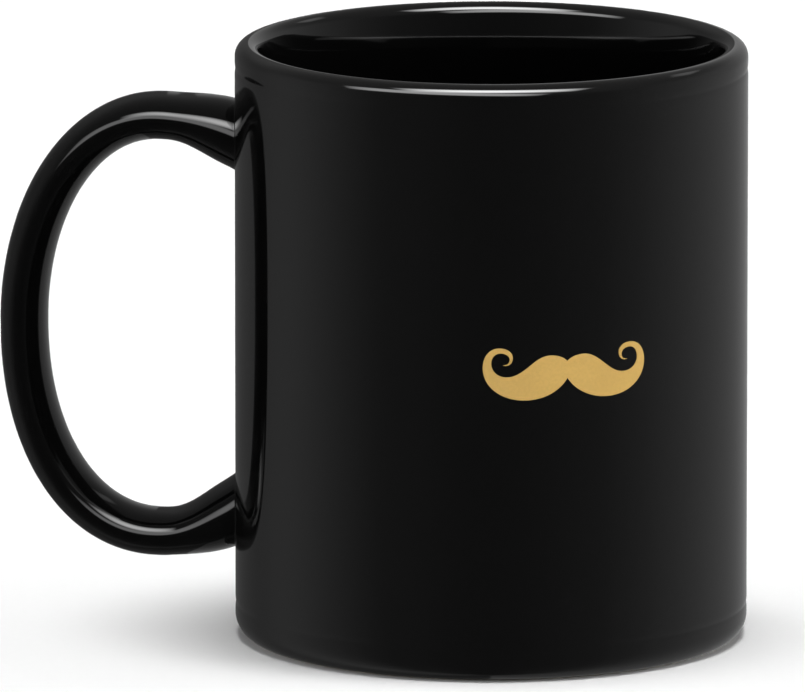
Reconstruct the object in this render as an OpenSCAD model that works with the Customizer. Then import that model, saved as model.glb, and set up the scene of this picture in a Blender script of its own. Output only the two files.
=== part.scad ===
// Straight-sided ceramic mug with a loop handle, a black glaze and a gold moustache on its wall.
// The cup's axis is Z, the table is at z = 0 and the handle points along -X.

/* [Cup] */
// Diameter over the glazed wall
cup_d = 82.5; // [76:0.5:92]
// Height from the table to the top of the rim
cup_h = 96.5; // [90:0.5:115]
// Thickness of the glazed wall at the rim
wall_t = 4.1; // [3.4:0.1:5]
// Thickness of the glazed floor
floor_t = 6; // [4:0.1:9]
// Outer rounding of the rim
rim_r = 2.1; // [1.2:0.1:2.5]
// Depth below the rim over which the inside of the wall swells
lip_h = 10.2; // [7:0.1:16]
// Lean of the inside wall, in degrees, where it leaves the rim's rounding
lip_tilt = 12; // [4:0.5:16]
// Rounding between the inside wall and the floor
inner_corner_r = 8; // [3:0.5:14]

/* [Foot] */
// Outer rounding of the foot
foot_corner_r = 3.5; // [1.5:0.1:4]
// Width of the flat ring that stands on the table
foot_w = 4; // [2.5:0.1:8]
// Depth of the glazed recess inside that ring
recess_h = 2.2; // [2:0.1:4]
// Rounding in the corner of the recess
recess_corner_r = 1.2; // [0.6:0.1:1.4]
// Height above the table at which the glaze stops
bare_h = 0.3; // [0.2:0.05:0.9]

/* [Grooves] */
// Depth of the two shallow grooves, below the rim and above the foot
groove_depth = 0.12; // [0.08:0.01:0.4]
// Height of each of a groove's two rounded flanks
groove_flank = 1.2; // [0.8:0.1:2]
// Plain band between the rim's rounding and the upper groove
rim_band = 0.7; // [0.1:0.1:3]
// Plain band between the foot's rounding and the lower groove
foot_band = 0.6; // [0.1:0.1:3]

/* [Glaze] */
// Thickness of the glaze
glaze_t = 0.35; // [0.2:0.05:0.5]

/* [Handle] */
// Distance from the wall to the outermost point of the handle
handle_reach = 38.7; // [32:0.1:46]
// Thickness of the grip, seen from the side
handle_t = 7.5; // [5.5:0.1:9]
// Width of the grip, seen from the end
handle_w = 14.3; // [9:0.1:18]
// Fullness of the grip's section, where 2 is an ellipse and more is squarer
section_fullness = 2; // [2:0.1:3]
// Distance of the upper root's middle below the rim
upper_root_drop = 16; // [14:0.1:24]
// Height of the lower root's middle above the table
lower_root_z = 18.9; // [16:0.05:26]
// Rise of the handle from its upper root to its top
upper_rise = 2.8; // [0.5:0.1:4]
// Fall of the handle from its lower root to its lowest point
lower_fall = 3.9; // [0.5:0.1:6]
// Distance from the wall at which the arch begins
arch_start = 12.5; // [12:0.1:18]
// Fullness of the arch's upper half, where 2 is an ellipse and more is squarer
upper_fullness = 2.04; // [2:0.01:2.4]
// Fullness of the arch's lower half
lower_fullness = 2.15; // [2:0.01:2.4]
// Height of a root where it meets the wall
root_h = 10.4; // [9:0.1:13]
// Width of a root where it meets the wall
root_w = 16.2; // [12:0.1:20]
// Distance from the wall over which a root swells
root_l = 10.9; // [6:0.1:12]
// Thickness of the slip that sticks a root to the wall
slip_t = 0.8; // [0.6:0.1:1.5]

/* [Print] */
// Width of the moustache, measured round the wall
print_w = 27.3; // [16:0.1:60]
// Angle round the cup from the handle to the middle of the moustache
print_turn = 115.3; // [60:0.1:300]
// Height of the moustache's middle above the cup's mid-height
print_rise = 2.35; // [-15:0.05:15]
// Thickness of the printed layer
print_t = 0.12; // [0.05:0.01:0.3]

/* [Hidden] */

clay_colour = "#D8CDBC";
slip_colour = "#C9BBA6";
glaze_colour = "#151515";
gold_colour = "#C8A65C";

// Steps along each rounding, round the turned pieces and along the handle
arc_steps = 8;
lip_steps = 6;
groove_steps = 4;
curve_steps = 8;
root_steps = 12;
arch_steps = 40;
grip_sides = 28;
$fn = 128;

cup_r = cup_d / 2;
clay_r = cup_r - glaze_t;
rim_inner_r = wall_t - rim_r;
lip_x = cup_r - rim_r - rim_inner_r * cos(lip_tilt);
lip_z = cup_h - rim_inner_r * (1 - sin(lip_tilt));
lip_drop = lip_z - (cup_h - lip_h);
inner_r = lip_x - tan(lip_tilt) * lip_drop / 2;
floor_z = recess_h + floor_t;
foot_out_r = clay_r - foot_corner_r;
foot_in_r = foot_out_r - foot_w;
recess_arc_x = foot_in_r - glaze_t - recess_corner_r;
foot_groove_z = foot_corner_r + foot_band + groove_flank;
rim_groove_z = cup_h - rim_r - rim_band - groove_flank;
flank_r = (groove_flank * groove_flank + groove_depth * groove_depth) / (2 * groove_depth);
glaze_line_a = asin((bare_h - foot_corner_r) / (foot_corner_r + glaze_t));

// The handle's path lies in the XZ plane, as [distance from the axis, height]
path_start = cup_r - root_h / 2;
arch_rho = cup_r + arch_start;
arch_a = handle_reach - arch_start - handle_t / 2;
upper_root_z = cup_h - upper_root_drop;
top_z = upper_root_z + upper_rise;
bottom_z = lower_root_z - lower_fall;
mid_z = (top_z + bottom_z) / 2;
arch_b = (top_z - bottom_z) / 2;

// One half of the moustache, from the top of its neck to the bottom: points on the outline,
// each followed by the two control points of the curve to the next
moustache_half = [
    [0, 1.35], [0.7, 2.05], [1.7, 2.35],
    [2.8, 2.35], [5.4, 2.35], [7, -1],
    [9.7, -1], [11.2, -1], [12.2, -0.05],
    [12.2, 1.2], [12.2, 2.2], [11.6, 2.85],
    [10.75, 2.85], [9.95, 2.85], [9.3, 2.4],
    [9.3, 1.8], [9.3, 1.25], [9.75, 0.9],
    [10.35, 0.95], [9.5, 0.6], [8.8, 1.25],
    [8.8, 2.1], [8.8, 3.05], [9.75, 3.65],
    [10.95, 3.65], [12.5, 3.65], [13.55, 2.35],
    [13.55, 0.5], [13.55, -2.5], [10.7, -4.75],
    [6.8, -4.75], [3.7, -4.75], [1.15, -3.3],
    [0, -1.35]
];
moustache_drawn_w = 2 * max([for (p = moustache_half) p.x]);

function backwards(points) = [for (i = [len(points) - 1:-1:0]) points[i]];

function arc(centre, r, from, to) = [
    for (i = [0:arc_steps])
        let (a = from + (to - from) * i / arc_steps)
        centre + r * [cos(a), sin(a)]
];

// A groove's two convex flanks, which meet in its bottom, on a face that lies inset below the glaze
function groove(z, inset) =
    let (r = flank_r - inset, bottom_a = asin(groove_flank / r))
    [
        for (i = [-groove_steps:groove_steps])
            let (a = bottom_a * (1 - abs(i) / groove_steps))
            [cup_r - flank_r + r * cos(a), z + sign(i) * (groove_flank - r * sin(a))]
    ];

// The cup's outside, from the foot's rounding to the top of the rim
function outer_face(inset, from) = concat(
    arc([foot_out_r, foot_corner_r], foot_corner_r + glaze_t - inset, from, 0),
    groove(foot_groove_z, inset),
    groove(rim_groove_z, inset),
    arc([cup_r - rim_r, cup_h - rim_r], rim_r - inset, 0, 90)
);

// The swell below the rim, on whose way down the inside wall's lean falls evenly to nothing
function lip(inset) = [
    for (i = [1:lip_steps])
        let (t = i / lip_steps, a = atan(tan(lip_tilt) * (1 - t)))
        [lip_x - tan(lip_tilt) * lip_drop * (t - t * t / 2), lip_z - lip_drop * t] + inset * [cos(a), -sin(a)]
];

// The cup's inside, from the top of the rim to the middle of the floor
function inner_face(inset) = concat(
    arc([cup_r - rim_r, cup_h - rim_inner_r], rim_inner_r - inset, 90, 180 - lip_tilt),
    lip(inset),
    arc([inner_r - inner_corner_r, floor_z + inner_corner_r], inner_corner_r + inset, 0, -90),
    [[0, floor_z - inset]]
);

// The recess under the cup, from its side to its middle
function recess_face(inset) = concat(
    arc([recess_arc_x, recess_h - recess_corner_r], recess_corner_r + inset, 0, 90),
    [[0, recess_h + inset]]
);

function ease(t) = let (s = min(max(t, 0), 1)) s * s * (3 - 2 * s);

// A signed power, which turns a circle's sine and cosine into a fuller curve
function fuller(v, fullness) = sign(v) * pow(abs(v), 2 / fullness);

// One root's path from inside the wall to the start of the arch: it leaves the arch at end_z
// and bends by the given amount before it reaches the wall
function root_path(end_z, bend) = [
    for (i = [0:root_steps - 1])
        let (rho = path_start + (arch_rho - path_start) * i / root_steps)
        [rho, end_z - bend * pow((arch_rho - rho) / arch_start, 2)]
];

function arch_path() = [
    for (i = [0:arch_steps])
        let (a = 180 * i / arch_steps, fullness = a < 90 ? upper_fullness : lower_fullness)
        [arch_rho + arch_a * fuller(sin(a), fullness), mid_z + arch_b * fuller(cos(a), fullness)]
];

handle_path = concat(
    root_path(top_z, upper_rise),
    arch_path(),
    backwards(root_path(bottom_z, -lower_fall))
);

// The direction across the path at one of its points, in the handle's plane
function across(i) =
    let (
        ahead = handle_path[min(i + 1, len(handle_path) - 1)],
        behind = handle_path[max(i - 1, 0)],
        along = (ahead - behind) / norm(ahead - behind)
    )
    [-along.y, along.x];

// Half the handle's size at a distance from the axis: size on the grip, root_size at the wall
function half_size(size, root_size, rho) =
    (size + (root_size - size) * ease((cup_r + root_l - rho) / root_l)) / 2;

function handle_ring(i, inset) =
    let (
        centre = handle_path[i],
        thick = half_size(handle_t, root_h, centre.x) - inset,
        wide = half_size(handle_w, root_w, centre.x) - inset
    )
    [
        for (j = [0:grip_sides - 1])
            let (
                a = 360 * j / grip_sides,
                p = centre + thick * fuller(cos(a), section_fullness) * across(i)
            )
            [-p.x, wide * fuller(sin(a), section_fullness), p.y]
    ];

function bezier(a, b, c, d, t) =
    pow(1 - t, 3) * a + 3 * pow(1 - t, 2) * t * b + 3 * (1 - t) * t * t * c + t * t * t * d;

// The points on a chain of curves, without the last one
function chain(points) = [
    for (k = [0:3:len(points) - 4], i = [0:curve_steps - 1])
        bezier(points[k], points[k + 1], points[k + 2], points[k + 3], i / curve_steps)
];

// A point measured round the wall and up it, seen flat from in front of the print
function round_wall(p) =
    let (size = print_w / moustache_drawn_w)
    [cup_r * sin(p.x * size / cup_r * 180 / PI), p.y * size];

module turned(points) {
    rotate_extrude() polygon(points);
}

module tube(r_in, r_out, z_low, z_high) {
    translate([0, 0, z_low]) rotate_extrude()
        translate([r_in, 0]) square([r_out - r_in, z_high - z_low]);
}

// The triangles between each ring of a sweep and the next, counted from the first ring's first point
function sweep_sides(first) = [
    for (i = [0:len(handle_path) - 2], j = [0:grip_sides - 1])
        let (k = (j + 1) % grip_sides, a = first + i * grip_sides, b = a + grip_sides)
        each [[a + j, b + j, b + k], [a + j, b + k, a + k]]
];

function turned_over(faces) = [for (f = faces) backwards(f)];

function handle_points(inset) = [for (i = [0:len(handle_path) - 1]) each handle_ring(i, inset)];

// The whole handle from wall to wall, with its surface inset below the glaze
module handle_form(inset) {
    first_end = [for (j = [0:grip_sides - 1]) j];
    last_end = [for (j = first_end) (len(handle_path) - 1) * grip_sides + j];
    polyhedron(handle_points(inset), concat(sweep_sides(0), [first_end], turned_over([last_end])));
}

// The glaze round that handle, open at both ends
module handle_skin() {
    inner = len(handle_path) * grip_sides;
    last = inner - grip_sides;
    first_end = [
        for (j = [0:grip_sides - 1])
            let (k = (j + 1) % grip_sides)
            each [[j, k, inner + k], [j, inner + k, inner + j]]
    ];
    last_end = [for (f = first_end) [for (p = f) p + last]];
    polyhedron(
        concat(handle_points(0), handle_points(glaze_t)),
        concat(sweep_sides(0), turned_over(sweep_sides(inner)), first_end, turned_over(last_end))
    );
}

module slip_joint(z_low, z_high) {
    color(slip_colour) intersection() {
        handle_form(glaze_t);
        tube(clay_r, clay_r + slip_t, z_low, z_high);
    }
}

module cup_body() {
    color(clay_colour) turned(concat(
        outer_face(glaze_t, -90),
        inner_face(glaze_t),
        backwards(recess_face(glaze_t)),
        [[foot_in_r, 0]]
    ));
}

module handle_core() {
    color(clay_colour) difference() {
        handle_form(glaze_t);
        cylinder(r = clay_r + slip_t, h = cup_h);
    }
}

module upper_slip_joint() {
    slip_joint(mid_z, cup_h);
}

module lower_slip_joint() {
    slip_joint(0, mid_z);
}

module outer_glaze() {
    color(glaze_colour) difference() {
        turned(concat(outer_face(0, glaze_line_a), backwards(outer_face(glaze_t, glaze_line_a))));
        handle_form(glaze_t);
    }
}

module inner_glaze() {
    color(glaze_colour) turned(concat(inner_face(0), backwards(inner_face(glaze_t))));
}

module recess_glaze() {
    color(glaze_colour) turned(concat(
        [[foot_in_r - glaze_t, bare_h]],
        recess_face(0),
        backwards(recess_face(glaze_t)),
        [[foot_in_r, bare_h]]
    ));
}

module handle_glaze() {
    color(glaze_colour) difference() {
        handle_skin();
        cylinder(r = cup_r, h = cup_h);
    }
}

module moustache_print() {
    right = [for (p = chain(moustache_half)) round_wall(p)];
    left = [for (p = chain(backwards(moustache_half))) round_wall([-p.x, p.y])];
    color(gold_colour) rotate(print_turn - 90) intersection() {
        translate([0, 0, cup_h / 2 + print_rise]) rotate([90, 0, 0])
            linear_extrude(cup_d) polygon(concat(right, left));
        tube(cup_r, cup_r + print_t, 0, cup_h);
    }
}

cup_body();
handle_core();
upper_slip_joint();
lower_slip_joint();
outer_glaze();
inner_glaze();
recess_glaze();
handle_glaze();
moustache_print();
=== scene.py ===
"""A straight-sided ceramic mug with a loop handle, a black glaze and a gold moustache on its wall.

The cup's axis is Z, the table is at z = 0 and the handle points along -X. Lengths are in metres.
"""

import math
from typing import NamedTuple

import bmesh
import bpy
from bpy.props import FloatProperty, FloatVectorProperty, PointerProperty
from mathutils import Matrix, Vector


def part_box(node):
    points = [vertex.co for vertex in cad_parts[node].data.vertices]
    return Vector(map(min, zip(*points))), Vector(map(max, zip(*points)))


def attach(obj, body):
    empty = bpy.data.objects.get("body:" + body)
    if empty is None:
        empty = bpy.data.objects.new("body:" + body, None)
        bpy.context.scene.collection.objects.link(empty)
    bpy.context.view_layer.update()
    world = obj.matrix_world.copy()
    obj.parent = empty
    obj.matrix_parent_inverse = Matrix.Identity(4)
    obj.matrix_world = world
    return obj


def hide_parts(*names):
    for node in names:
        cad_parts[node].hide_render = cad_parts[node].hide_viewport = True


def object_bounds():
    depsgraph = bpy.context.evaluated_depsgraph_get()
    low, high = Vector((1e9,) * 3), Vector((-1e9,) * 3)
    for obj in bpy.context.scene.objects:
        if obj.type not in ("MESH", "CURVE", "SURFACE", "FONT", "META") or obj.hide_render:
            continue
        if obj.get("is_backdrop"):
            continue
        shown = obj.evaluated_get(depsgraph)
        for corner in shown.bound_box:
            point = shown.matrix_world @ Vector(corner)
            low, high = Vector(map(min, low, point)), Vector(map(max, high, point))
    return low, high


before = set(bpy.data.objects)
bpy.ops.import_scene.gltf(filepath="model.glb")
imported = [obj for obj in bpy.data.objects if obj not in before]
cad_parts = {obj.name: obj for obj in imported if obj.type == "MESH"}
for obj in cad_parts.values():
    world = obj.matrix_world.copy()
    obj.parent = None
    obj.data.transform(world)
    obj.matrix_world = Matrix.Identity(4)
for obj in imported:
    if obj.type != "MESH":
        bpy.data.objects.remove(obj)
CAD_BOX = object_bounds()

bl_info = {
    "name": "Glazed mug",
    "version": (1, 0, 0),
    "blender": (4, 5, 0),
    "location": "3D View > Sidebar > Mug",
    "description": "Makes a mug's clay, its black glaze and the gold moustache on its wall",
    "category": "Add Mesh",
}

MM = 0.001
BODY = "root"

# Steps round the cup, along its roundings and grooves, and round and along the handle
CUP_SIDES = 320
ARC_STEPS = 20
BEAD_STEPS = 10
LIP_STEPS = 24
GROOVE_STEPS = 10
GRIP_SIDES = 72
FILLET_STEPS = 10
ROOT_STEPS = 22
ARCH_STEPS = 150
# How much the steps crowd towards a groove's bottom and, on a root, towards the wall; 1 is even
GROOVE_CROWDING = 1.5
ROOT_CROWDING = 1.3
# Steps along each curve of the moustache, and the width of the strips that wrap it round the wall
CURVE_STEPS = 24
WRAP_STEP = 0.8 * MM
# A straight stretch of a profile that is longer than LONG_RUN gets a point GUARD from each of its
# ends, which keeps its shading flat, and points at most STRETCH apart between them
GUARD = 0.25 * MM
LONG_RUN = 4 * GUARD
STRETCH = 5 * MM
# Points of a profile that lie closer together than this are one, and a smaller radius is the axis
TINY = 1e-9
# How far a piece that lies on the wall's glaze is sunk into it
SINK = 0.15 * MM
# How far the fired glaze softens the bottom of a groove
GROOVE_SOFTNESS = 0.1 * MM
# Height below the top of the rim over which the glaze runs thin, and the mesh attribute that holds
# how thin it lies
THIN_BAND = 1.2 * MM
THINNESS = "glaze_thinness"
# Angle in radians, to both sides of a point on the handle's arch, that gives the arch's direction
ARCH_NEAR = 0.004
# How often a root's path is halved to find where it meets the wall
HALVINGS = 40
# Where two faces meet at more than this angle, the shading shows an edge
EDGE_ANGLE = math.radians(32)

# One half of the moustache in millimetres, from the top of its neck to the bottom: points on the
# outline, each followed by the two control points of the curve to the next
MOUSTACHE_HALF = (
    (0, 1.35), (0.7, 2.05), (1.7, 2.35),
    (2.8, 2.35), (5.4, 2.35), (7, -1),
    (9.7, -1), (11.2, -1), (12.2, -0.05),
    (12.2, 1.2), (12.2, 2.2), (11.6, 2.85),
    (10.75, 2.85), (9.95, 2.85), (9.3, 2.4),
    (9.3, 1.8), (9.3, 1.25), (9.75, 0.9),
    (10.35, 0.95), (9.5, 0.6), (8.8, 1.25),
    (8.8, 2.1), (8.8, 3.05), (9.75, 3.65),
    (10.95, 3.65), (12.5, 3.65), (13.55, 2.35),
    (13.55, 0.5), (13.55, -2.5), (10.7, -4.75),
    (6.8, -4.75), (3.7, -4.75), (1.15, -3.3),
    (0, -1.35),
)
MOUSTACHE_DRAWN_W = 2 * max(x for x, y in MOUSTACHE_HALF)

# The sockets of a mix node that hold colours: its two inputs and its result
MIX_FIRST, MIX_SECOND, MIX_RESULT = 6, 7, 2
# Nearly all values of a noise lie between these two
NOISE_RANGE = (0.3, 0.7)

# Side of the square sheet of paper, and distance of the softboxes from the mug
PAPER_SIZE = 60.0
SOFTBOX_DISTANCE = 20.0


class Softbox(NamedTuple):
    """A softbox's use, place, size and light.

    turn is its angle from the camera's side and elevation its angle above the table, in degrees.
    width and height are shares of its distance. brightness is that of its middle, where 1 is white,
    and evenness says how evenly that spreads to its edges.
    """

    use: str
    turn: float
    elevation: float
    width: float
    height: float
    brightness: float
    evenness: float


# The key and the sides light all, the fill lights only the mug, and the others only shine in the
# glaze
SOFTBOXES = (
    Softbox("key", 77, 85.8, 0.195, 0.56, 42.5, 2.75),
    Softbox("left side", -95, 20, 3.0, 0.5, 2.3, 2),
    Softbox("right side", 95, 20, 3.0, 0.5, 3.1, 2),
    Softbox("fill", 31, 30, 1.2, 0.8, 1.5, 8),
    Softbox("overhead shine", 0, 62.3, 1.3, 0.55, 21.0, 2),
    Softbox("front shine", -24, 36, 1.92, 0.5, 5.9, 4),
    Softbox("back shine", 133, 40.5, 0.4, 0.19, 0.6, 3),
)

# Brightness of the studio walls round the mug, by the angle in degrees from the camera's side, with
# the right-hand side positive: dark behind the camera, bright at the two sides, and with a firm edge
# straight behind the mug, where the bright right-hand wall meets the darker left-hand one
STUDIO_WALLS = (
    (-180, 0.105), (-150, 0.11), (-125, 0.17), (-102, 0.3), (-78, 0.25), (-55, 0.13), (-30, 0.09),
    (0, 0.066),
    (30, 0.09), (55, 0.14), (78, 0.24), (108, 0.34), (145, 0.31), (168, 0.33), (180, 0.37),
)
# Brightness of the ceiling, and the sines of the angles above the table between which the walls
# turn into it
CEILING = 0.205
WALLS_END, CEILING_START = 0.22, 0.55


def linear(code):
    """The linear colour, with its alpha, of an sRGB hex value."""
    channels = [int(code[i:i + 2], 16) / 255 for i in (1, 3, 5)]
    return (
        *(c / 12.92 if c <= 0.04045 else ((c + 0.055) / 1.055) ** 2.4 for c in channels), 1.0,
    )


def length(label, text, millimetres):
    """A length that a user can change, written in millimetres."""
    return FloatProperty(
        name=label, description=text, default=millimetres * MM, min=0, unit="LENGTH", precision=5
    )


def angle(label, text, degrees):
    """An angle that a user can change, written in degrees."""
    return FloatProperty(
        name=label, description=text, default=math.radians(degrees), subtype="ANGLE", unit="ROTATION"
    )


def fullness(label, text, value):
    """The fullness of a curve that a user can change, where 2 is an ellipse."""
    return FloatProperty(name=label, description=text, default=value, min=2, max=4)


def colour(label, text, code):
    """A colour that a user can change, written as an sRGB hex value."""
    return FloatVectorProperty(
        name=label, description=text, default=linear(code), size=4, min=0, max=1, subtype="COLOR"
    )


class CupSizes(bpy.types.PropertyGroup):
    """Sizes of the clay cup and its glaze."""

    radius: FloatProperty(
        name="Radius", description="Radius over the glazed wall",
        default=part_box("outer_glaze")[1].x, min=0, unit="LENGTH", precision=5,
    )
    height: FloatProperty(
        name="Height", description="Height from the table to the top of the rim",
        default=CAD_BOX[1].z, min=0, unit="LENGTH", precision=5,
    )
    wall: length("Wall", "Thickness of the glazed wall at the rim", 4.1)
    floor: length("Floor", "Thickness of the glazed floor", 6)
    rim: length("Rim", "Outer rounding of the rim", 2.1)
    lip: length("Lip", "Depth below the rim over which the inside of the wall swells", 10.2)
    lip_tilt: angle("Lip tilt", "Lean of the inside wall where it leaves the rim's rounding", 12)
    inner_corner: length("Inner corner", "Rounding between the inside wall and the floor", 8)
    foot_corner: length("Foot corner", "Outer rounding of the foot", 3.5)
    foot_width: length("Foot width", "Width of the ring that stands on the table", 4)
    foot_edge: length("Foot edge", "Rounding of the inner edge of that ring", 0.4)
    recess: length("Recess", "Depth of the glazed recess inside that ring", 2.2)
    recess_corner: length("Recess corner", "Rounding in the corner of the recess", 1.2)
    bare: length("Bare foot", "Height above the table at which the glaze stops", 0.3)
    groove_depth: length("Groove depth", "Depth of the two shallow grooves", 0.12)
    groove_flank: length("Groove flank", "Height of each of a groove's two flanks", 1.2)
    rim_band: length("Rim band", "Plain band between the rim and the upper groove", 0.7)
    foot_band: length("Foot band", "Plain band between the foot and the lower groove", 0.6)
    glaze: length("Glaze", "Thickness of the glaze", 0.35)


class HandleSizes(bpy.types.PropertyGroup):
    """Sizes of the handle."""

    reach: length("Reach", "Distance from the wall to the outermost point", 38.7)
    thickness: length("Thickness", "Thickness of the grip, seen from the side", 7.5)
    width: length("Width", "Width of the grip, seen from the end", 14.3)
    section: fullness("Section", "Fullness of the section, where 2 is an ellipse", 2)
    upper_root: length("Upper root", "Distance of the upper root's middle below the rim", 16)
    lower_root: length("Lower root", "Height of the lower root's middle above the table", 18.9)
    rise: length("Rise", "Rise from the upper root to the top", 2.8)
    fall: length("Fall", "Fall from the lower root to the lowest point", 3.9)
    arch_start: length("Arch start", "Distance from the wall at which the arch begins", 12.5)
    upper_arch: fullness(
        "Upper arch", "Fullness of the arch's upper half, where 2 is an ellipse", 2.04
    )
    lower_arch: fullness(
        "Lower arch", "Fullness of the arch's lower half, where 2 is an ellipse", 2.15
    )
    root_height: length("Root height", "Height of a root where it meets the wall", 10.4)
    root_width: length("Root width", "Width of a root where it meets the wall", 16.2)
    root_length: length("Root length", "Distance from the wall over which a root swells", 10.9)
    fillet: length("Fillet", "Rounding of the glaze between a root and the wall", 0.15)


class PrintSizes(bpy.types.PropertyGroup):
    """Size and place of the moustache."""

    width: length("Width", "Width of the moustache, measured round the wall", 27.3)
    turn: angle("Turn", "Angle round the cup from the handle to the moustache's middle", 115.3)
    rise: length("Rise", "Height of its middle above the cup's mid-height", 2.35)
    thickness: length("Thickness", "Thickness of the printed layer", 0.12)


class Finishes(bpy.types.PropertyGroup):
    """Colours of the mug's materials and of the floor under it."""

    glaze: colour("Glaze", "Black glaze where it lies thick", "#060606")
    glaze_thin: colour("Thin glaze", "Black glaze where it runs thin over an edge", "#0C0B0A")
    clay: colour("Clay", "Bare fired stoneware", "#D8CDBC")
    clay_speck: colour("Specks", "Iron specks in the stoneware", "#8A6F56")
    slip: colour("Slip", "Slip that sticks the handle to the wall", "#C9BBA6")
    gold: colour("Gold", "Gold-coloured ink of the moustache", "#CBA455")
    floor: colour("Floor", "Paper that the mug stands on", "#F4F4F4")


class StageSizes(bpy.types.PropertyGroup):
    """Place of the camera."""

    azimuth: angle("Azimuth", "Angle of the camera round the mug from the front", 8.48)
    elevation: angle("Elevation", "Angle of the camera above the table", 10.7)
    distance: length("Distance", "Distance of the camera from the mug", 3133)
    lens: FloatProperty(
        name="Lens", description="Focal length in millimetres",
        default=870.1, min=1, subtype="DISTANCE_CAMERA",
    )
    aim: FloatVectorProperty(
        name="Aim", description="Point on the cup's axis that the camera is placed from",
        default=(0, 0, 48 * MM), subtype="TRANSLATION", unit="LENGTH",
    )
    aside: length("Aside", "Distance of the image's middle to the left of that point", 14.29)
    below: length("Below", "Distance of the image's middle below that point", 1.09)


# Materials

def add_node(tree, kind, inputs=(), **settings):
    """Adds a node with its settings; each input gets a value, or a link where it gets a socket."""
    made = tree.nodes.new(kind)
    for name, value in settings.items():
        setattr(made, name, value)
    for name, value in dict(inputs).items():
        if isinstance(value, bpy.types.NodeSocket):
            tree.links.new(value, made.inputs[name])
        else:
            made.inputs[name].default_value = value
    return made


def per_mm(size):
    """A texture's scale for features of this size in millimetres."""
    return 1 / (size * MM)


def noise(tree, place, size, detail, roughness=0.6):
    """The value of a noise with features of this size in millimetres."""
    return add_node(tree, "ShaderNodeTexNoise", {
        "Vector": place, "Scale": per_mm(size), "Detail": detail, "Roughness": roughness,
    }).outputs["Fac"]


def spread(tree, value, low, high, over=NOISE_RANGE):
    """A texture's value, spread from its own range to the range between two levels."""
    return add_node(tree, "ShaderNodeMapRange", {
        "Value": value, "From Min": over[0], "From Max": over[1], "To Min": low, "To Max": high,
    }).outputs["Result"]


def calculate(tree, operation, first, second):
    """The result of a calculation with two values."""
    made = add_node(tree, "ShaderNodeMath", {0: first, 1: second}, operation=operation)
    return made.outputs["Value"]


def shaded(tree, tint, level):
    """A colour made darker or lighter by a level, where 1 leaves it as it is."""
    made = add_node(tree, "ShaderNodeVectorMath", {0: tint[:3], "Scale": level}, operation="SCALE")
    return made.outputs["Vector"]


def mixed(tree, share, first, second):
    """The first colour with a share of the second."""
    return add_node(tree, "ShaderNodeMix", {
        "Factor": share, MIX_FIRST: first, MIX_SECOND: second,
    }, data_type="RGBA").outputs[MIX_RESULT]


def relief(tree, height, strength, depth):
    """The normals of a surface with a relief of this depth in millimetres."""
    return add_node(tree, "ShaderNodeBump", {
        "Height": height, "Strength": strength, "Distance": depth * MM,
    }).outputs["Normal"]


def new_material(name):
    """An empty material, its node tree and the object's own coordinates in metres."""
    made = bpy.data.materials.new(name)
    made.use_nodes = True
    tree = made.node_tree
    tree.nodes.clear()
    place = add_node(tree, "ShaderNodeTexCoord").outputs["Object"]
    return made, tree, place


def surface(tree, **inputs):
    """Ends a material's tree with its shader."""
    named = {name.replace("_", " "): value for name, value in inputs.items()}
    shader = add_node(tree, "ShaderNodeBsdfPrincipled", named)
    add_node(tree, "ShaderNodeOutputMaterial", {"Surface": shader.outputs["BSDF"]})


# Black stoneware glaze, dipped and fired to a glossy coat. The eye gets a nearly black mirror: clear
# dark reflections, a very slight wave of the fired surface, and a warmer tone where the glaze has
# run thin over an edge. On the handle it lies thinner and shines less.
def black_glaze(finishes, name="Black stoneware glaze", shine=0.5):
    made, tree, place = new_material(name)
    wave = noise(tree, place, 14, 1, 0.4)
    smudge = noise(tree, place, 24, 3)
    mottle = noise(tree, place, 5, 4)
    thin = add_node(tree, "ShaderNodeAttribute", attribute_name=THINNESS)
    thinness = calculate(tree, "MULTIPLY", thin.outputs["Fac"], mottle)
    surface(
        tree,
        Base_Color=mixed(tree, thinness, finishes.glaze, finishes.glaze_thin),
        Roughness=spread(tree, smudge, 0.03, 0.06),
        IOR=1.54,
        Specular_IOR_Level=shine,
        Normal=relief(tree, wave, 0.05, 0.06),
    )
    return made


def handle_black_glaze(finishes):
    return black_glaze(finishes, "Black stoneware glaze, thin", shine=0.2)


# Gold-coloured ceramic ink, printed and fired on. The eye gets an even satin tan-gold with a faint
# grain. The pigment's real grain is about 0.05 mm; it is drawn at 0.5 mm so that it shows.
def gold_ink(finishes):
    made, tree, place = new_material("Gold ceramic ink")
    grain = noise(tree, place, 0.5, 2)
    cloud = noise(tree, place, 9, 2, 0.5)
    tone = calculate(tree, "MULTIPLY", grain, cloud)
    level = spread(tree, tone, 0.94, 1.06, over=(0.1, 0.4))
    surface(
        tree,
        Base_Color=shaded(tree, finishes.gold, level),
        Roughness=spread(tree, grain, 0.32, 0.44),
        IOR=1.5,
        Normal=relief(tree, grain, 0.15, 0.02),
    )
    return made


# Bare stoneware, fired without glaze and rubbed smooth where it stands. The eye gets a matte cream
# clay with a sandy grain and small iron specks.
def bare_stoneware(finishes):
    made, tree, place = new_material("Bare stoneware")
    cloud = noise(tree, place, 6, 4)
    grit = noise(tree, place, 0.35, 3, 0.7)
    specks = add_node(tree, "ShaderNodeTexVoronoi", {"Vector": place, "Scale": per_mm(2.2)})
    speck = spread(tree, specks.outputs["Distance"], 0.8, 0, over=(0.09, 0.14))
    clay = shaded(tree, finishes.clay, spread(tree, cloud, 0.9, 1.05))
    surface(
        tree,
        Base_Color=mixed(tree, speck, clay, finishes.clay_speck),
        Roughness=spread(tree, grit, 0.78, 0.92),
        IOR=1.5,
        Normal=relief(tree, grit, 0.4, 0.08),
    )
    return made


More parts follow.
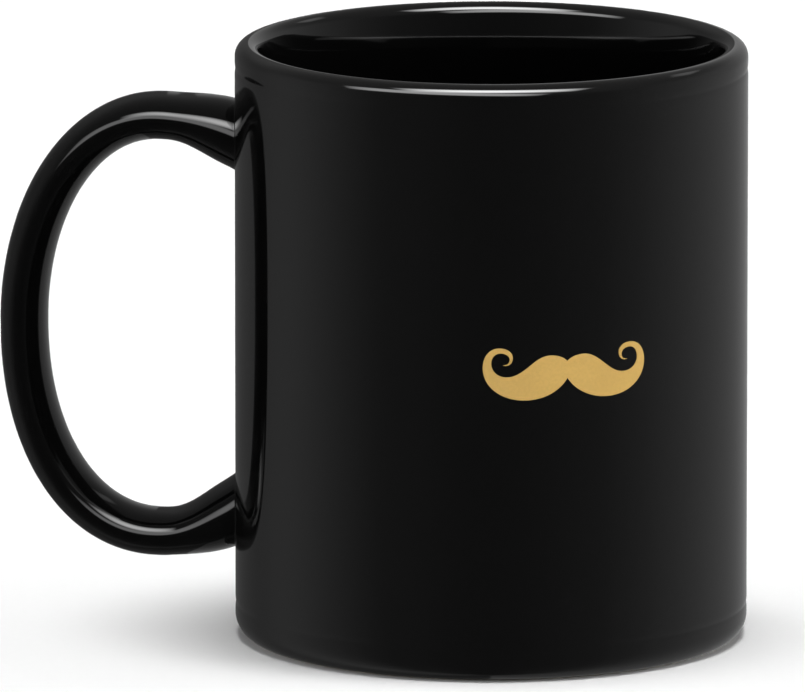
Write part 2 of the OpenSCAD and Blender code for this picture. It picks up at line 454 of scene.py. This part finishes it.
# Slip, liquid clay that was brushed on and fired. The eye gets a matte, slightly darker clay with
# soft brush marks.
def fired_slip(finishes):
    made, tree, place = new_material("Fired slip")
    stretched = add_node(tree, "ShaderNodeMapping", {"Vector": place, "Scale": (1, 1, 0.2)})
    brushed = noise(tree, stretched.outputs["Vector"], 0.6, 3)
    surface(
        tree,
        Base_Color=shaded(tree, finishes.slip, spread(tree, brushed, 0.88, 1.06)),
        Roughness=0.85,
        IOR=1.5,
        Normal=relief(tree, brushed, 0.4, 0.1),
    )
    return made


# White seamless paper, rolled out flat. The eye gets an even matte white.
def seamless_paper(finishes):
    made, tree, place = new_material("White seamless paper")
    fibre = noise(tree, place, 1.5, 3)
    base = shaded(tree, finishes.floor, spread(tree, fibre, 0.995, 1.005))
    paper = add_node(tree, "ShaderNodeBsdfDiffuse", {"Color": base})
    add_node(tree, "ShaderNodeOutputMaterial", {"Surface": paper.outputs["BSDF"]})
    return made


def finish_of(name, make, context):
    """A material that is made once and shared by the pieces that have it."""
    return bpy.data.materials.get(name) or make(context.scene.mug_finishes)


# Shapes

def arc(centre, radius, start, end, steps=ARC_STEPS):
    """Points on an arc in the plane of a profile, from one angle in degrees to another."""
    angles = [math.radians(start + (end - start) * i / steps) for i in range(steps + 1)]
    return [(centre[0] + radius * math.cos(a), centre[1] + radius * math.sin(a)) for a in angles]


def groove(cup, middle, inset):
    """A groove's two convex flanks, which meet in its bottom."""
    radius = (cup.groove_flank ** 2 + cup.groove_depth ** 2) / (2 * cup.groove_depth)
    points = []
    for i in range(-GROOVE_STEPS, GROOVE_STEPS + 1):
        off = math.copysign(cup.groove_flank * abs(i / GROOVE_STEPS) ** GROOVE_CROWDING, i)
        back = cup.groove_flank - math.hypot(off, GROOVE_SOFTNESS)
        out = cup.radius - radius + math.sqrt((radius - inset) ** 2 - back ** 2)
        points.append((out, middle + off))
    return points


def foot_radius(cup):
    """Radius at which the outer rounding of the foot ends on the table."""
    return cup.radius - cup.glaze - cup.foot_corner


def glaze_line(cup):
    """Angle on the foot's rounding, in degrees, at which the glaze stops."""
    return math.degrees(math.asin((cup.bare - cup.foot_corner) / (cup.foot_corner + cup.glaze)))


def outer_face(cup, inset, start):
    """The cup's outside, from the foot's rounding to the top of the rim."""
    lower = cup.foot_corner + cup.foot_band + cup.groove_flank
    upper = cup.height - cup.rim - cup.rim_band - cup.groove_flank
    return (
        arc((foot_radius(cup), cup.foot_corner), cup.foot_corner + cup.glaze - inset, start, 0)
        + groove(cup, lower, inset)
        + groove(cup, upper, inset)
        + arc((cup.radius - cup.rim, cup.height - cup.rim), cup.rim - inset, 0, 90)
    )


def inner_face(cup, inset):
    """The cup's inside, from the top of the rim to the middle of the floor."""
    rim = cup.wall - cup.rim
    floor = cup.recess + cup.floor
    middle = cup.radius - cup.rim
    tilt = cup.lip_tilt
    top = arc((middle, cup.height - rim), rim - inset, 90, 180 - math.degrees(tilt))
    start = (middle - rim * math.cos(tilt), rim * (1 - math.sin(tilt)))
    run = cup.lip - start[1]
    lean = math.tan(tilt)
    lip = []
    for i in range(1, LIP_STEPS + 1):
        t = i / LIP_STEPS
        slant = math.atan(lean * (1 - t))
        radius, depth = start[0] - lean * run * (t - t * t / 2), start[1] + run * t
        lip.append((radius + inset * math.cos(slant), cup.height - depth - inset * math.sin(slant)))
    corner = (lip[-1][0] - inset - cup.inner_corner, floor + cup.inner_corner)
    return top[1:] + lip + arc(corner, cup.inner_corner + inset, 0, -90) + [(0, floor - inset)]


def recess_face(cup, inset):
    """The recess under the cup, from its side to its middle."""
    middle = foot_radius(cup) - cup.foot_width - cup.glaze - cup.recess_corner
    return (
        arc((middle, cup.recess - cup.recess_corner), cup.recess_corner + inset, 0, 90)
        + [(0, cup.recess + inset)]
    )


def guarded(profile):
    """The profile with more points on its straight stretches."""
    points = [profile[0]]
    for (r0, z0), (r1, z1) in zip(profile, profile[1:]):
        run = math.hypot(r1 - r0, z1 - z0)
        if run > LONG_RUN:
            count = max(1, math.ceil((run - 2 * GUARD) / STRETCH))
            places = [GUARD + (run - 2 * GUARD) * i / count for i in range(count + 1)]
            points += [(r0 + (r1 - r0) * s / run, z0 + (z1 - z0) * s / run) for s in places]
        if run > TINY:
            points.append((r1, z1))
    return points


def finished_piece(shape, name, material, stands_for):
    """Turns a bmesh into a piece that rides on the mug and stands for CAD nodes."""
    bmesh.ops.recalc_face_normals(shape, faces=shape.faces)
    mesh = bpy.data.meshes.new(name)
    shape.to_mesh(mesh)
    shape.free()
    mesh.materials.append(material)
    mesh.shade_smooth()
    mesh.set_sharp_from_angle(angle=EDGE_ANGLE)
    piece = bpy.data.objects.new(name, mesh)
    bpy.context.scene.collection.objects.link(piece)
    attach(piece, BODY)
    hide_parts(*stands_for)


def turned(profile, thinness=None):
    """A shape turned round the cup's axis from a profile that starts and ends on the axis.

    thinness gives how thin the glaze lies at a point of the profile, from 0 to 1.
    """
    shape = bmesh.new()
    layer = shape.verts.layers.float.new(THINNESS)
    turns = [math.tau * i / CUP_SIDES for i in range(CUP_SIDES)]
    spokes = [(math.cos(a), math.sin(a)) for a in turns]
    rings = []
    for radius, z in guarded(profile):
        used = spokes[:1] if radius < TINY else spokes
        ring = [shape.verts.new((radius * c, radius * s, z)) for c, s in used]
        for vert in ring:
            vert[layer] = thinness(radius, z) if thinness else 0
        rings.append(ring)
    for low, high in zip(rings, rings[1:]):
        for i in range(CUP_SIDES):
            j = (i + 1) % CUP_SIDES
            corners = (
                low[i % len(low)], low[j % len(low)], high[j % len(high)], high[i % len(high)],
            )
            # On the axis two corners are the same, which leaves a triangle
            shape.faces.new(tuple(dict.fromkeys(corners)))
    return shape


def smooth(t):
    """Eases from 0 to 1."""
    t = min(max(t, 0), 1)
    return t * t * (3 - 2 * t)


def signed_power(value, exponent):
    """A power that keeps the sign of its base."""
    return math.copysign(abs(value) ** exponent, value)


class HandlePath:
    """The path of the handle in its own plane, as distances from the cup's axis and heights."""

    def __init__(self, cup, handle):
        self.cup, self.handle = cup, handle
        self.arch_rho = cup.radius + handle.arch_start
        self.arch_a = handle.reach - handle.arch_start - handle.thickness / 2
        self.top = cup.height - handle.upper_root + handle.rise
        self.bottom = handle.lower_root - handle.fall
        self.middle = (self.top + self.bottom) / 2
        self.arch_b = (self.top - self.bottom) / 2

    def root(self, upper, rho):
        """A point on the upper or lower root and the path's direction there."""
        if upper:
            end, bend, way = self.top, -self.handle.rise, 1
        else:
            end, bend, way = self.bottom, self.handle.fall, -1
        back = (self.arch_rho - rho) / self.handle.arch_start
        slope = -2 * bend * back / self.handle.arch_start
        run = math.hypot(1, slope)
        return (rho, end + bend * back ** 2), (way / run, way * slope / run)

    def arch_point(self, turn):
        """A point on the arch, by its angle from the top."""
        full = self.handle.upper_arch if turn < math.pi / 2 else self.handle.lower_arch
        return (
            self.arch_rho + self.arch_a * signed_power(math.sin(turn), 2 / full),
            self.middle + self.arch_b * signed_power(math.cos(turn), 2 / full),
        )

    def arch(self, turn):
        """A point on the arch, by its angle from the top, and the path's direction there."""
        r0, z0 = self.arch_point(max(turn - ARCH_NEAR, 0))
        r1, z1 = self.arch_point(min(turn + ARCH_NEAR, math.pi))
        run = math.hypot(r1 - r0, z1 - z0)
        return self.arch_point(turn), ((r1 - r0) / run, (z1 - z0) / run)

    def surface(self, station, side, inset, push=0):
        """A point on the handle at a station of its path, by its angle round the section.

        inset lies below the glaze, and push stands out from it across the path.
        """
        (rho, z), (along_rho, along_z) = station
        handle, full = self.handle, self.handle.section
        swell = smooth((self.cup.radius + handle.root_length - rho) / handle.root_length)
        thick = (handle.thickness + (handle.root_height - handle.thickness) * swell) / 2 - inset
        wide = (handle.width + (handle.root_width - handle.width) * swell) / 2 - inset
        c, s = signed_power(math.cos(side), 2 / full), signed_power(math.sin(side), 2 / full)
        lean = Vector((signed_power(c, full - 1) / thick, signed_power(s, full - 1) / wide))
        lean.normalize()
        out, aside = thick * c + push * lean.x, wide * s + push * lean.y
        return Vector((-(rho - along_z * out), aside, z + along_rho * out))

    def at_wall(self, upper, side, inset, push, distance):
        """Where on a root's path its surface lies at this distance from the cup's axis."""
        low, high = self.cup.radius / 2, self.arch_rho
        for _ in range(HALVINGS):
            rho = (low + high) / 2
            if self.surface(self.root(upper, rho), side, inset, push).xy.length < distance:
                low = rho
            else:
                high = rho
        return (low + high) / 2

    def root_rings(self, upper, sides, inset, fillet):
        """Rings of points from inside the wall's glaze to the start of the arch."""
        wall = self.cup.radius
        seats = [(wall - SINK, fillet)]
        if fillet:
            turns = [math.pi / 2 * i / FILLET_STEPS for i in range(FILLET_STEPS + 1)]
            seats += [
                (wall + fillet * (1 - math.cos(a)), fillet * (1 - math.sin(a))) for a in turns
            ]
        rings = []
        for distance, push in seats:
            places = [self.at_wall(upper, a, inset, push, distance) for a in sides]
            rings.append([
                self.surface(self.root(upper, rho), a, inset, push)
                for rho, a in zip(places, sides)
            ])
        # From the last seat on, the rings ease into sections across the path
        for i in range(1, ROOT_STEPS + 1):
            t = (i / ROOT_STEPS) ** ROOT_CROWDING
            rings.append([
                self.surface(self.root(upper, rho + (self.arch_rho - rho) * t), a, inset)
                for rho, a in zip(places, sides)
            ])
        return rings

    def rings(self, sides, inset, fillet):
        """Rings of points from one root to the other."""
        stations = [self.arch(math.pi * i / ARCH_STEPS) for i in range(1, ARCH_STEPS)]
        return (
            self.root_rings(True, sides, inset, fillet)
            + [[self.surface(station, a, inset) for a in sides] for station in stations]
            + self.root_rings(False, sides, inset, fillet)[::-1]
        )


def bezier_chain(points, steps):
    """Points along a chain of curves, without the last one."""
    made = []
    for k in range(0, len(points) - 3, 3):
        a, b, c, d = (Vector(p) for p in points[k:k + 4])
        for i in range(steps):
            t = i / steps
            u = 1 - t
            made.append(u ** 3 * a + 3 * u * u * t * b + 3 * u * t * t * c + t ** 3 * d)
    return made


# Studio

def outward(azimuth, elevation):
    """The way out from the mug at an angle round it from the front and one above the table."""
    return Vector((
        math.sin(azimuth) * math.cos(elevation),
        -math.cos(azimuth) * math.cos(elevation),
        math.sin(elevation),
    ))


def rightward(azimuth):
    """The way to the right, seen from an angle round the mug from the front."""
    return Vector((math.cos(azimuth), math.sin(azimuth), 0))


def all_but(name, left_out):
    """A collection for light linking that takes in everything except these objects."""
    made = bpy.data.collections.new(name)
    for thing in left_out:
        made.objects.link(thing)
    for entry in made.collection_objects:
        entry.light_linking.link_state = "EXCLUDE"
    return made


# Operators

class MUG_OT_clay(bpy.types.Operator):
    """Makes the clay cup and gives the clay inside the handle its finish"""

    bl_idname = "mug.clay"
    bl_label = "Clay cup"

    def execute(self, context):
        cup = context.scene.mug_cup
        clay = finish_of("Bare stoneware", bare_stoneware, context)
        foot_in = foot_radius(cup) - cup.foot_width
        edge = arc((foot_in + cup.foot_edge, cup.foot_edge), cup.foot_edge, 180, 270, BEAD_STEPS)
        profile = (
            inner_face(cup, cup.glaze)[::-1]
            + outer_face(cup, cup.glaze, -90)[::-1]
            + edge[::-1]
            + recess_face(cup, cup.glaze)
        )
        finished_piece(turned(profile), "clay_cup", clay, ["cup_body"])
        slip = finish_of("Fired slip", fired_slip, context)
        carried_over = {"handle_core": clay, "upper_slip_joint": slip, "lower_slip_joint": slip}
        for node, finish in carried_over.items():
            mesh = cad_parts[node].data
            mesh.materials.clear()
            mesh.materials.append(finish)
        return {"FINISHED"}


class MUG_OT_cup_glaze(bpy.types.Operator):
    """Makes the glaze inside and outside the cup, and the glaze in the recess under it"""

    bl_idname = "mug.cup_glaze"
    bl_label = "Cup glaze"

    def execute(self, context):
        cup = context.scene.mug_cup
        glaze = finish_of("Black stoneware glaze", black_glaze, context)
        self.coat_cup(cup, glaze)
        self.coat_recess(cup, glaze)
        return {"FINISHED"}

    def coat_cup(self, cup, glaze):
        """Makes one coat from the floor over the rim to the foot, where it ends in a bead."""
        half = cup.glaze / 2
        line = glaze_line(cup)
        turn, reach = math.radians(line), cup.foot_corner + half
        middle = (
            foot_radius(cup) + reach * math.cos(turn), cup.foot_corner + reach * math.sin(turn),
        )
        coat = (
            inner_face(cup, 0)[::-1]
            + outer_face(cup, 0, line)[::-1]
            + arc(middle, half, line, line - 180, BEAD_STEPS)[1:-1]
            + outer_face(cup, cup.glaze, line)
            + inner_face(cup, cup.glaze)
        )

        def thinness(radius, z):
            on_rim = radius > cup.radius - cup.wall
            return smooth(1 - abs(cup.height - z) / THIN_BAND) if on_rim else 0

        finished_piece(
            turned(coat, thinness),
            "cup_glaze_coat", glaze, ["outer_glaze", "inner_glaze"],
        )

    def coat_recess(self, cup, glaze):
        """Makes the coat under the floor, which ends in a bead inside the foot ring."""
        half = cup.glaze / 2
        middle = (foot_radius(cup) - cup.foot_width - half, cup.bare + half)
        bead = arc(middle, half, 180, 360, BEAD_STEPS)
        coat = recess_face(cup, 0)[::-1] + bead + recess_face(cup, cup.glaze)
        finished_piece(turned(coat), "recess_glaze_coat", glaze, ["recess_glaze"])


class MUG_OT_handle_glaze(bpy.types.Operator):
    """Makes the glaze round the handle, with a fillet where each root meets the wall"""

    bl_idname = "mug.handle_glaze"
    bl_label = "Handle glaze"

    def execute(self, context):
        cup, handle = context.scene.mug_cup, context.scene.mug_handle
        path = HandlePath(cup, handle)
        sides = [math.tau * i / GRIP_SIDES for i in range(GRIP_SIDES)]
        rings = path.rings(sides, 0, handle.fillet) + path.rings(sides, cup.glaze, 0)[::-1]
        shape = bmesh.new()
        verts = [[shape.verts.new(p) for p in ring] for ring in rings]
        for ring, following in zip(verts, verts[1:] + verts[:1]):
            for j in range(GRIP_SIDES):
                k = (j + 1) % GRIP_SIDES
                shape.faces.new((ring[j], ring[k], following[k], following[j]))
        glaze = finish_of("Black stoneware glaze, thin", handle_black_glaze, context)
        finished_piece(shape, "handle_glaze_coat", glaze, ["handle_glaze"])
        return {"FINISHED"}


class MUG_OT_moustache(bpy.types.Operator):
    """Makes the printed moustache, a thin layer that is wrapped round the wall"""

    bl_idname = "mug.moustache"
    bl_label = "Moustache print"

    def execute(self, context):
        cup, ink = context.scene.mug_cup, context.scene.mug_print
        shape = self.flat_shape(ink)
        middle = cup.height / 2 + ink.rise
        for vert in shape.verts:
            turn = ink.turn - math.pi / 2 + vert.co.x / cup.radius
            radius = cup.radius - SINK + vert.co.z
            vert.co = (radius * math.sin(turn), -radius * math.cos(turn), middle + vert.co.y)
        gold = finish_of("Gold ceramic ink", gold_ink, context)
        finished_piece(shape, "gold_moustache", gold, ["moustache_print"])
        return {"FINISHED"}

    def flat_shape(self, ink):
        """Makes the moustache flat, cut into upright strips and raised to its thickness."""
        size = ink.width / MOUSTACHE_DRAWN_W
        right = bezier_chain(MOUSTACHE_HALF, CURVE_STEPS)
        left = [Vector((-p.x, p.y)) for p in bezier_chain(MOUSTACHE_HALF[::-1], CURVE_STEPS)]
        shape = bmesh.new()
        verts = [shape.verts.new((p.x * size, p.y * size, 0)) for p in right + left]
        edges = [shape.edges.new(pair) for pair in zip(verts, verts[1:] + verts[:1])]
        bmesh.ops.triangle_fill(shape, use_beauty=True, edges=edges, normal=(0, 0, 1))
        strips = math.ceil(ink.width / 2 / WRAP_STEP)
        for i in range(-strips, strips + 1):
            bmesh.ops.bisect_plane(
                shape, geom=shape.verts[:] + shape.edges[:] + shape.faces[:],
                plane_co=(i * WRAP_STEP, 0, 0), plane_no=(1, 0, 0),
            )
        raised = bmesh.ops.extrude_face_region(shape, geom=shape.faces[:])["geom"]
        for vert in (v for v in raised if isinstance(v, bmesh.types.BMVert)):
            vert.co.z = ink.thickness + SINK
        return shape


class MUG_OT_stage(bpy.types.Operator):
    """Makes the paper under the mug, the softboxes, the studio round it and the camera"""

    bl_idname = "mug.stage"
    bl_label = "Stage"

    def execute(self, context):
        scene, stage = context.scene, context.scene.mug_stage
        meshes = [thing for thing in scene.objects if thing.type == "MESH"]
        handle = [thing for thing in meshes if thing.name.startswith("handle")]
        paper = self.lay_paper(context)
        for box in SOFTBOXES:
            links = self.hang_softbox(scene, stage, box).light_linking
            if box.use == "fill":
                links.receiver_collection = all_but("lit by the fill", [paper])
            if box.use == "key":
                links.blocker_collection = all_but("shading the key", handle)
        self.light_studio(scene, stage)
        self.set_camera(scene, stage)
        scene.view_settings.view_transform = "Standard"
        # The softboxes that shine in the glaze don't light the paper by way of it
        scene.cycles.caustics_reflective = False
        return {"FINISHED"}

    def lay_paper(self, context):
        """Lays the paper on the table."""
        half = PAPER_SIZE / 2
        corners = [(-half, -half, 0), (half, -half, 0), (half, half, 0), (-half, half, 0)]
        mesh = bpy.data.meshes.new("paper")
        mesh.from_pydata(corners, [], [(0, 1, 2, 3)])
        mesh.materials.append(finish_of("White seamless paper", seamless_paper, context))
        paper = bpy.data.objects.new("paper", mesh)
        # The black glaze mirrors the studio's walls and not the paper
        paper.visible_glossy = False
        context.scene.collection.objects.link(paper)
        paper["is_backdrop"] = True
        return paper

    def hang_softbox(self, scene, stage, box):
        """Hangs a softbox that faces the mug and fades towards its edges."""
        lamp = bpy.data.lights.new(box.use, "AREA")
        lamp.shape = "RECTANGLE"
        lamp.size = box.width * SOFTBOX_DISTANCE
        lamp.size_y = box.height * SOFTBOX_DISTANCE
        lamp.energy = box.brightness * math.pi * lamp.size * lamp.size_y
        lamp.use_nodes = True
        tree = lamp.node_tree
        tree.nodes.clear()
        # How far a point lies from the middle, as shares of the half width and the half height
        place = add_node(tree, "ShaderNodeNewGeometry").outputs["Parametric"]
        off = add_node(tree, "ShaderNodeVectorMath", {
            0: place, 1: (2, 2, 0), 2: (-1, -1, 0),
        }, operation="MULTIPLY_ADD").outputs["Vector"]
        off = add_node(tree, "ShaderNodeVectorMath", {0: off}, operation="ABSOLUTE")
        off = add_node(tree, "ShaderNodeSeparateXYZ", {"Vector": off.outputs["Vector"]})
        glow = 1
        for axis in "XY":
            fall = calculate(tree, "POWER", off.outputs[axis], box.evenness)
            glow = calculate(tree, "MULTIPLY", glow, calculate(tree, "SUBTRACT", 1, fall))
        light = add_node(tree, "ShaderNodeEmission", {"Strength": glow})
        add_node(tree, "ShaderNodeOutputLight", {"Surface": light.outputs["Emission"]})
        way = outward(stage.azimuth + math.radians(box.turn), math.radians(box.elevation))
        softbox = bpy.data.objects.new(box.use, lamp)
        softbox.location = Vector(stage.aim) + way * SOFTBOX_DISTANCE
        softbox.rotation_mode = "QUATERNION"
        softbox.rotation_quaternion = way.to_track_quat("Z", "Y")
        softbox.visible_glossy = "shine" in box.use
        softbox.visible_diffuse = not softbox.visible_glossy
        scene.collection.objects.link(softbox)
        return softbox

    def light_studio(self, scene, stage):
        """Puts the studio's walls and ceiling round the mug."""
        world = bpy.data.worlds.new("Studio walls")
        world.use_nodes = True
        tree = world.node_tree
        tree.nodes.clear()
        way = add_node(tree, "ShaderNodeTexCoord").outputs["Generated"]
        ahead, right = (
            add_node(
                tree, "ShaderNodeVectorMath", {0: way, 1: axis}, operation="DOT_PRODUCT"
            ).outputs["Value"]
            for axis in (outward(stage.azimuth, 0), rightward(stage.azimuth))
        )
        turn = calculate(tree, "ARCTAN2", right, ahead)
        share = spread(tree, turn, 0, 1, over=(-math.pi, math.pi))
        ramp = add_node(tree, "ShaderNodeValToRGB", {"Fac": share})
        stops = ramp.color_ramp.elements
        while len(stops) < len(STUDIO_WALLS):
            stops.new(0.5)
        for stop, (degrees, level) in zip(stops, STUDIO_WALLS):
            stop.position = (degrees + 180) / 360
            stop.color = (level, level, level, 1)
        ramp.color_ramp.interpolation = "CARDINAL"
        height = add_node(tree, "ShaderNodeSeparateXYZ", {"Vector": way})
        above = add_node(tree, "ShaderNodeMapRange", {
            "Value": height.outputs["Z"], "From Min": WALLS_END, "From Max": CEILING_START,
        }, interpolation_type="SMOOTHSTEP").outputs["Result"]
        level = mixed(tree, above, ramp.outputs["Color"], (CEILING, CEILING, CEILING, 1))
        glow = add_node(tree, "ShaderNodeBackground", {"Color": level})
        add_node(tree, "ShaderNodeOutputWorld", {"Surface": glow.outputs["Background"]})
        scene.world = world

    def set_camera(self, scene, stage):
        """Places the camera, with the mug to the right of the image's middle."""
        back = outward(stage.azimuth, stage.elevation)
        right = rightward(stage.azimuth)
        up = back.cross(right)
        lens = bpy.data.cameras.new("camera")
        lens.lens = stage.lens
        camera = bpy.data.objects.new("camera", lens)
        middle = Vector(stage.aim) - right * stage.aside - up * stage.below
        camera.location = middle + back * stage.distance
        camera.rotation_mode = "QUATERNION"
        camera.rotation_quaternion = back.to_track_quat("Z", "Y")
        scene.collection.objects.link(camera)
        scene.camera = camera


class MUG_PT_sidebar(bpy.types.Panel):
    """Lists the mug's pieces and their sizes"""

    bl_idname = "MUG_PT_sidebar"
    bl_label = "Glazed mug"
    bl_space_type = "VIEW_3D"
    bl_region_type = "UI"
    bl_category = "Mug"

    def draw(self, context):
        for operator in OPERATORS:
            self.layout.operator(operator.bl_idname)
        for name, group in GROUPS.items():
            box = self.layout.box()
            box.label(text=group.__doc__)
            for size in group.__annotations__:
                box.prop(getattr(context.scene, name), size)


GROUPS = {
    "mug_cup": CupSizes,
    "mug_handle": HandleSizes,
    "mug_print": PrintSizes,
    "mug_finishes": Finishes,
    "mug_stage": StageSizes,
}
OPERATORS = (MUG_OT_clay, MUG_OT_cup_glaze, MUG_OT_handle_glaze, MUG_OT_moustache, MUG_OT_stage)


def register():
    for name, group in GROUPS.items():
        bpy.utils.register_class(group)
        setattr(bpy.types.Scene, name, PointerProperty(type=group))
    for kind in (*OPERATORS, MUG_PT_sidebar):
        bpy.utils.register_class(kind)


def unregister():
    for kind in (MUG_PT_sidebar, *reversed(OPERATORS)):
        bpy.utils.unregister_class(kind)
    for name, group in reversed(GROUPS.items()):
        delattr(bpy.types.Scene, name)
        bpy.utils.unregister_class(group)


def main():
    """Makes the mug and its stage, and works out its size."""
    register()
    bpy.ops.mug.clay()
    bpy.ops.mug.cup_glaze()
    bpy.ops.mug.handle_glaze()
    bpy.ops.mug.moustache()
    bpy.ops.mug.stage()
    sizes = {"cad": CAD_BOX, "visual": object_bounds()}
    {name: [list(corner) for corner in box] for name, box in sizes.items()}


if __name__ == "__main__":
    main()
